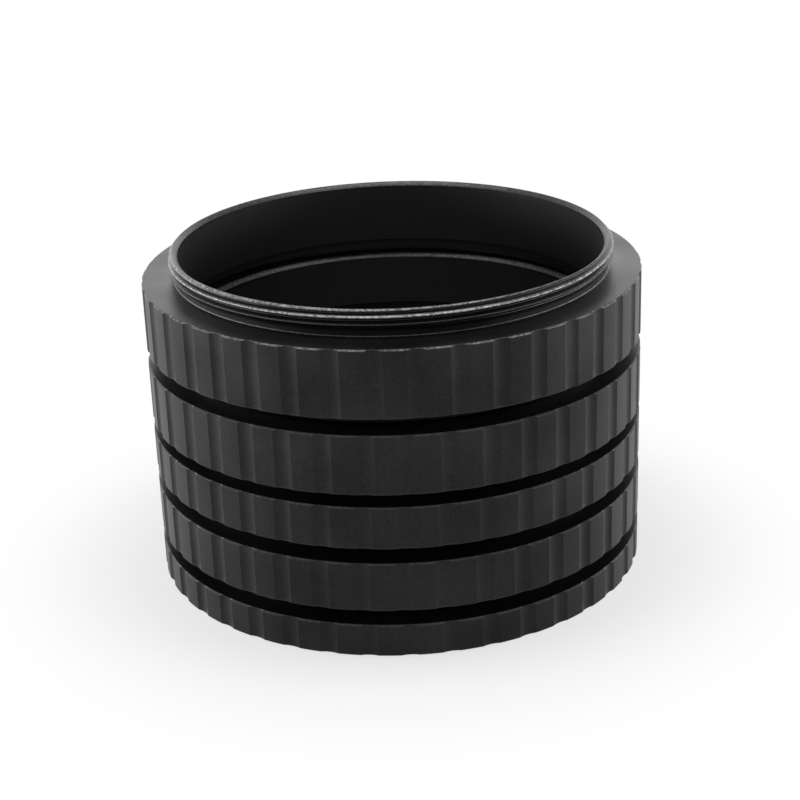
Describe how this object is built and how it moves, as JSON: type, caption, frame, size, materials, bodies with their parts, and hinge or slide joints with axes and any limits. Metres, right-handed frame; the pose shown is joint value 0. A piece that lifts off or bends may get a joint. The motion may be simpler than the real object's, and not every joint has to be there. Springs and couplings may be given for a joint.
{
  "type": "telescope extension tube",
  "caption": "Screw-together extension tube of fluted black aluminium rings, with a male thread on top, a female thread underneath and a clear bore for the light path.",
  "frame": {"origin": "centre of the lowest ring's bottom face", "axes": "+Z along the tube's axis, from the socket at the bottom to the threaded stub at the top; -Y faces the picture's viewer"},
  "size_m": [0.054, 0.054, 0.0361],
  "materials": {
    "black_anodised_aluminium": "black anodised, satin"
  },
  "bodies": {
    "base_ring": {"base_ring": "black_anodised_aluminium"},
    "lower_ring": {"lower_ring": "black_anodised_aluminium"},
    "middle_ring": {"middle_ring": "black_anodised_aluminium"},
    "upper_ring": {"upper_ring": "black_anodised_aluminium"},
    "top_ring": {"top_ring": "black_anodised_aluminium"}
  },
  "joints": [
    {"name": "lower_ring_screw", "type": "hinge", "parent": "base_ring", "child": "lower_ring", "pos_m": [0, 0, 0.00513], "axis": [0, 0, 1], "range_deg": [-756, 420]},
    {"name": "middle_ring_screw", "type": "hinge", "parent": "lower_ring", "child": "middle_ring", "pos_m": [0, 0, 0.01205], "axis": [0, 0, 1], "range_deg": [-756, 420]},
    {"name": "upper_ring_screw", "type": "hinge", "parent": "middle_ring", "child": "upper_ring", "pos_m": [0, 0, 0.01792], "axis": [0, 0, 1], "range_deg": [-612, 564]},
    {"name": "top_ring_screw", "type": "hinge", "parent": "upper_ring", "child": "top_ring", "pos_m": [0, 0, 0.02598], "axis": [0, 0, 1], "range_deg": [-792, 384]}
  ]
}
